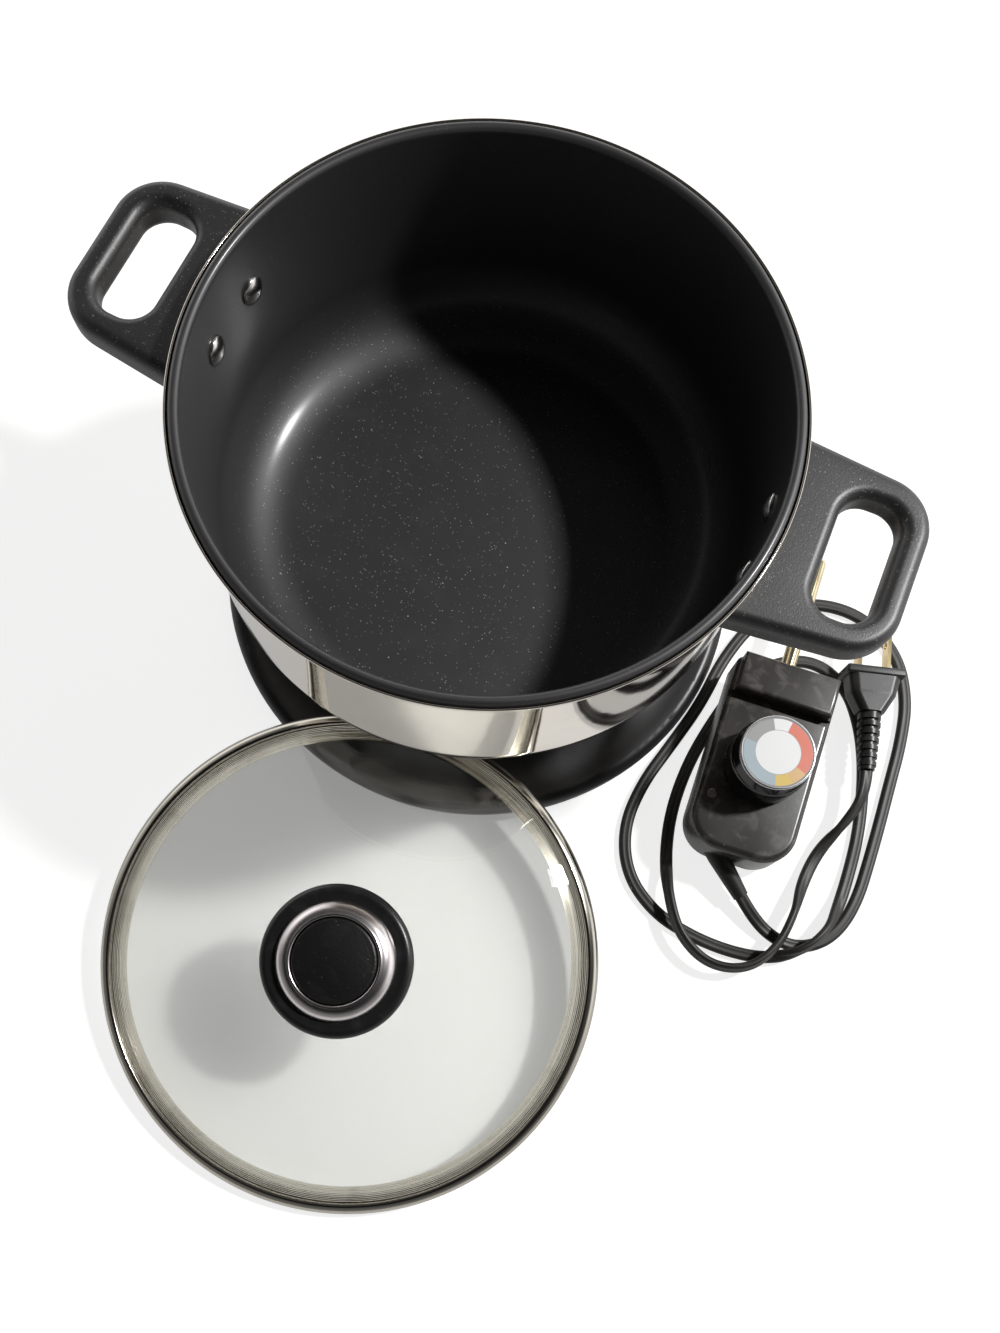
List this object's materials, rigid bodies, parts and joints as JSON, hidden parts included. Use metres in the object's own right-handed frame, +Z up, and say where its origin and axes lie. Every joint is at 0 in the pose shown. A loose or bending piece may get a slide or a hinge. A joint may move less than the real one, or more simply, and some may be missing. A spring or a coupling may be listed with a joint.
{
  "type": "electric hot pot",
  "caption": "Round electric hot pot on a flared base with two loop handles, a loose domed glass lid with knob, and a detachable probe control with dial, lead and plug.",
  "frame": {"origin": "on the pot's axis at the plane that its four rubber feet stand on", "axes": "+Z up; +X from the pot towards the handle over the power inlet; -Y towards the lid that lies beside the pot"},
  "size_m": [0.3731, 0.4032, 0.136],
  "materials": {
    "polished_steel": "mirror polished stainless steel",
    "nonstick": "speckled nonstick coating",
    "rivet_steel": "polished rivet heads",
    "aluminium_plate": "cast",
    "element_sheath": "oxidised sheath",
    "pin_metal": "plated",
    "ceramic": "ceramic, matt",
    "sleeve_steel": "drawn tube",
    "base_black": "fine-grained phenolic moulding",
    "seal_rubber": "silicone",
    "plate_steel": "painted steel plate",
    "screw_steel": "zinc plated",
    "foot_rubber": "rubber",
    "handle_black": "speckled phenolic",
    "bracket_steel": "plated sheet",
    "glass": "clear tempered glass",
    "ring_steel": "rolled stainless ring",
    "knob_black": "satin phenolic",
    "chrome": "chrome plated",
    "cap_black": "fine matt grain",
    "case_black": "glossy moulding",
    "probe_brass": "bright tube",
    "bimetal": "bimetal strip",
    "contact_brass": "brass",
    "lens_clear": "clear lens",
    "lead_black": "flexible lead",
    "plug_black": "moulded",
    "blade_brass": "bright blades",
    "dial_black": "glossy dial",
    "dial_colours": "printed colour bands",
    "shaft_steel": "turned shaft"
  },
  "bodies": {
    "pot": {"outer_shell": "polished_steel", "inner_pan": "nonstick", "left_rivets": "rivet_steel", "right_rivets": "rivet_steel", "heat_spreader": "aluminium_plate", "heating_element": "element_sheath", "terminal_pins": "pin_metal", "terminal_insulator": "ceramic", "probe_sleeve": "sleeve_steel", "base_shell": "base_black", "inlet_guard": "base_black", "base_gasket": "seal_rubber", "base_plate": "plate_steel", "base_screws": "screw_steel", "feet": "foot_rubber", "centre_stud": "screw_steel", "centre_nut": "screw_steel", "left_handle": "handle_black", "right_handle": "handle_black", "left_handle_bracket": "bracket_steel", "right_handle_bracket": "bracket_steel", "left_handle_screw": "screw_steel", "right_handle_screw": "screw_steel"},
    "lid": {"lid_glass": "glass", "lid_ring": "ring_steel", "knob_washer": "seal_rubber", "knob_base": "knob_black", "knob_ring": "chrome", "knob_cap": "cap_black", "knob_screw": "screw_steel"},
    "control": {"control_bottom": "case_black", "control_top": "case_black", "control_screws": "screw_steel", "probe": "probe_brass", "terminal_sockets": "pin_metal", "terminal_block": "ceramic", "thermostat_frame": "bracket_steel", "bimetal_blade": "bimetal", "contact_arm": "contact_brass", "shaft_bush": "contact_brass", "pilot_lens": "lens_clear", "cord_guard": "lead_black", "power_cord": "lead_black", "plug_body": "plug_black", "plug_blades": "blade_brass", "plug_guard": "plug_black"},
    "dial": {"dial_knob": "dial_black", "dial_face": "dial_colours", "dial_shaft": "shaft_steel"}
  },
  "joints": [
    {"name": "lid_lift", "type": "slide", "parent": "pot", "child": "lid", "axis": [0.0899, -0.8142, 0.5736], "range_m": [0, 0.15]},
    {"name": "control_lift", "type": "slide", "parent": "pot", "child": "control", "axis": [0.2999, -0.5498, 0.7796], "range_m": [0, 0.1]},
    {"name": "dial_turn", "type": "hinge", "parent": "control", "child": "dial", "pos_m": [0.14851, -0.04032, 0.0278], "axis": [0, 0, 1], "range_deg": [-270, 0]}
  ]
}
